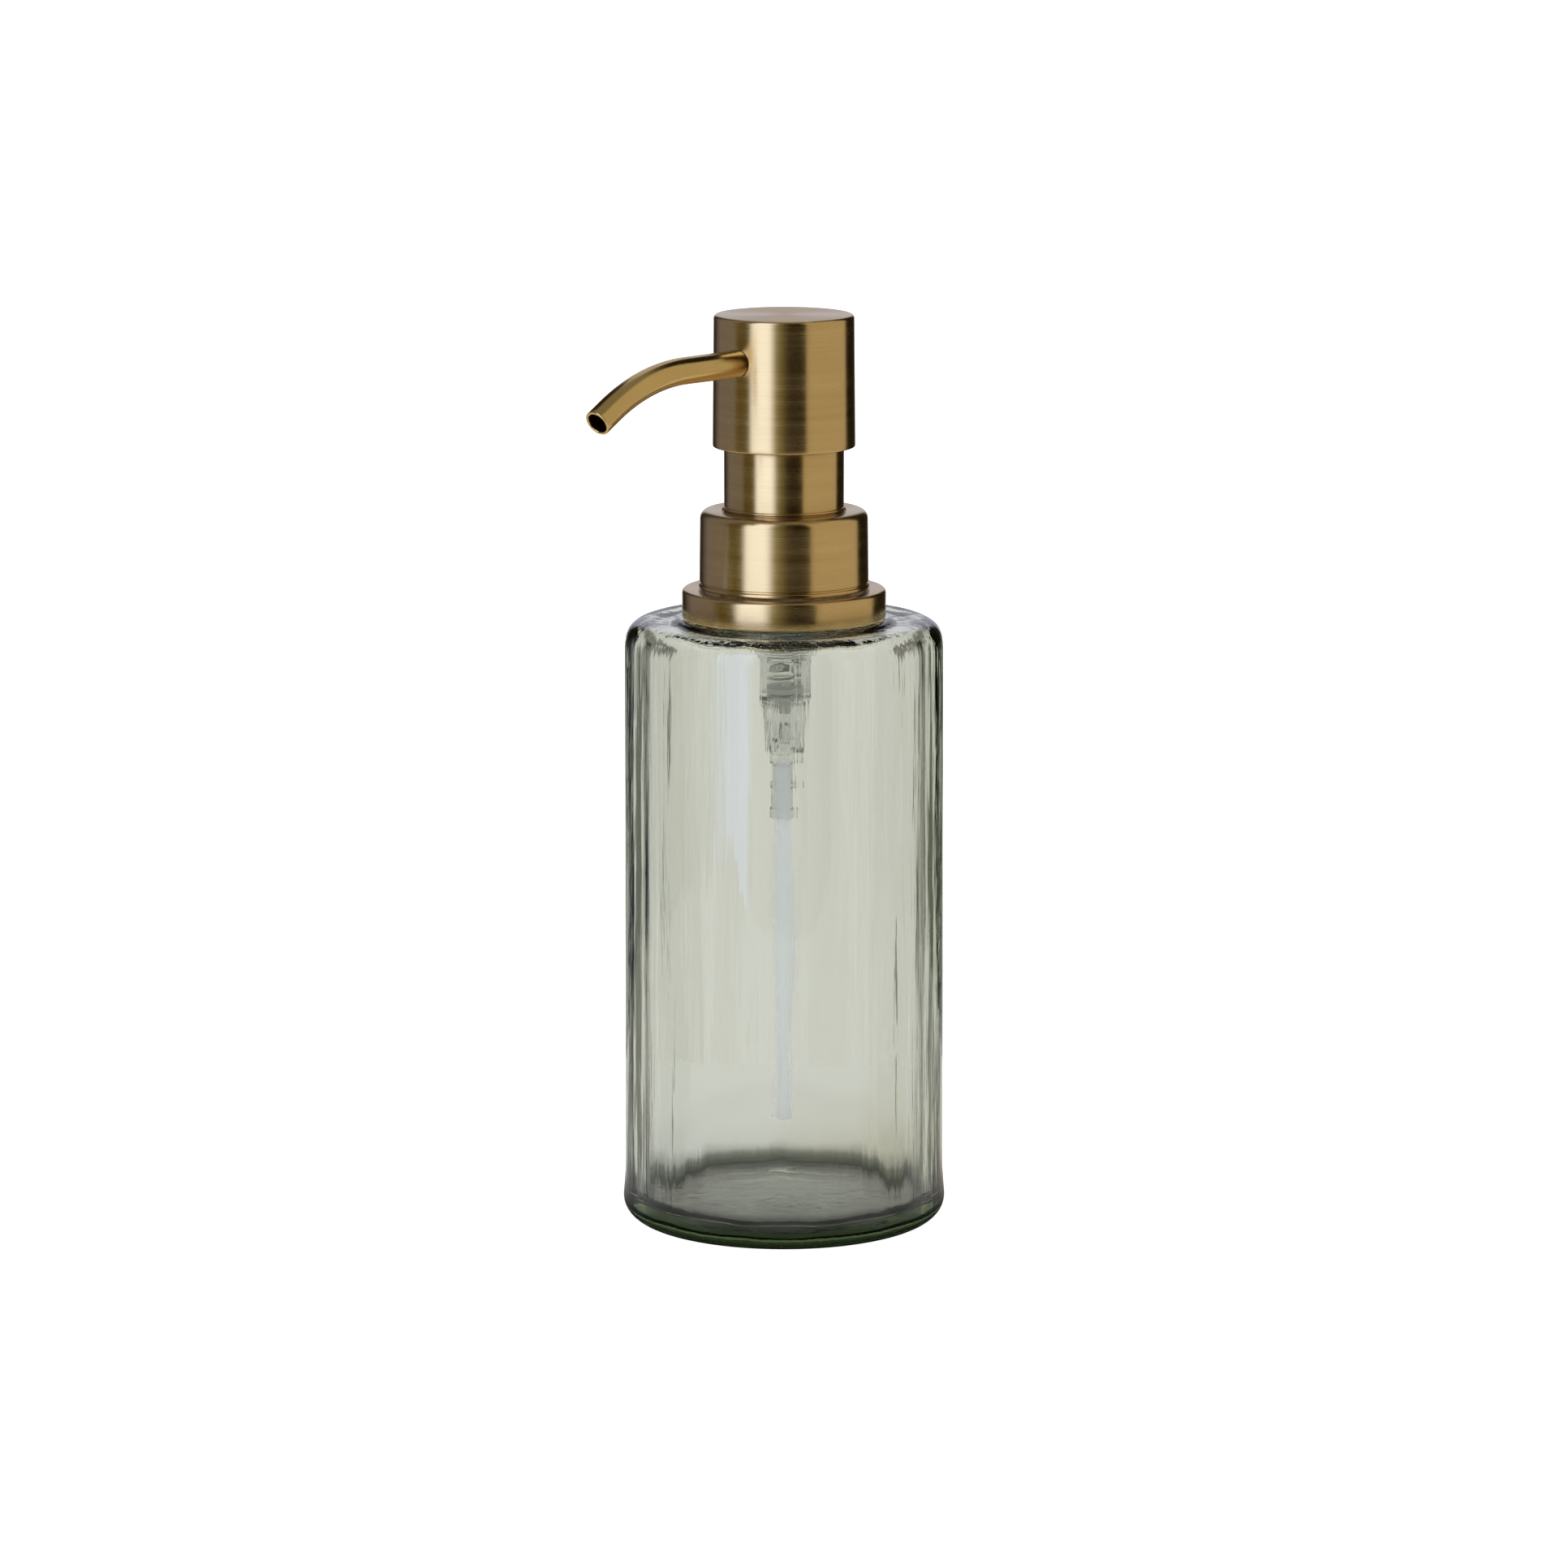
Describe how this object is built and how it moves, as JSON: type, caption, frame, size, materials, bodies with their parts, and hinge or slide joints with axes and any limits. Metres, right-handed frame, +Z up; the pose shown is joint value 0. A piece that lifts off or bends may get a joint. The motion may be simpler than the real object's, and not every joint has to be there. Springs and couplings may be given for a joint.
{
  "type": "soap dispenser",
  "caption": "Fluted pale green glass soap dispenser with a brushed antique brass lotion pump that presses, swivels, unscrews and lifts out.",
  "frame": {"origin": "centre of the bottle's flat underside, on the pump's axis", "axes": "+Z up along the pump's axis, -Y towards the spout's outlet, +X completes the right-handed frame"},
  "size_m": [0.0662, 0.0901, 0.1865],
  "materials": {
    "bottle_glass": "pale sage tinted, fluted, polished",
    "brushed_brass": "antique brass, brushed round the axis",
    "satin_brass": "antique brass, satin",
    "white_plastic": "moulded",
    "clear_plastic": "clear moulded",
    "frosted_plastic": "frosted extruded",
    "seal_rubber": "matte",
    "spring_steel": "drawn stainless wire",
    "ball_glass": "polished"
  },
  "bodies": {
    "bottle": {"glass_bottle": "bottle_glass", "base_ring": "brushed_brass"},
    "gasket": {"neck_gasket": "seal_rubber"},
    "pump": {"pump_housing": "clear_plastic", "guide_collar": "white_plastic", "stem_sleeve": "brushed_brass", "ball_cage": "white_plastic", "dip_tube": "frosted_plastic", "return_spring": "spring_steel"},
    "closure": {"closure_cap": "white_plastic", "closure_shell": "brushed_brass"},
    "ball": {"check_ball": "ball_glass"},
    "plunger": {"piston_rod": "white_plastic"},
    "seal": {"piston": "white_plastic"},
    "head": {"stem": "white_plastic", "head_core": "white_plastic", "head_shell": "brushed_brass", "spout_tube": "satin_brass", "spout_seal": "seal_rubber"}
  },
  "joints": [
    {"name": "pump_lift_out", "type": "slide", "parent": "bottle", "child": "gasket", "axis": [0, 0, 1], "range_m": [0, 0.126]},
    {"name": "pump_rise", "type": "slide", "parent": "gasket", "child": "pump", "axis": [0, 0, 1], "range_m": [0, 0.00635]},
    {"name": "closure_turn", "type": "hinge", "parent": "pump", "child": "closure", "pos_m": [0, 0, 0.139], "axis": [0, 0, 1], "range_deg": [0, 540]},
    {"name": "ball_lift", "type": "slide", "parent": "pump", "child": "ball", "axis": [0, 0, 1], "range_m": [0, 0.0015]},
    {"name": "head_press", "type": "slide", "parent": "pump", "child": "plunger", "axis": [0, 0, -1], "range_m": [0, 0.012], "stiffness_N_per_m": 400, "springref_m": -0.015, "deforming": ["return_spring"]},
    {"name": "valve_slip", "type": "slide", "parent": "plunger", "child": "seal", "axis": [0, 0, 1], "range_m": [0, 0.001]},
    {"name": "spout_swivel", "type": "hinge", "parent": "plunger", "child": "head", "pos_m": [0, 0, 0.17], "axis": [0, 0, 1], "continuous": true}
  ],
  "couplings": [
    {"joint": "closure_turn", "follows": "pump_rise", "rad_per_m": 1484.2}
  ]
}
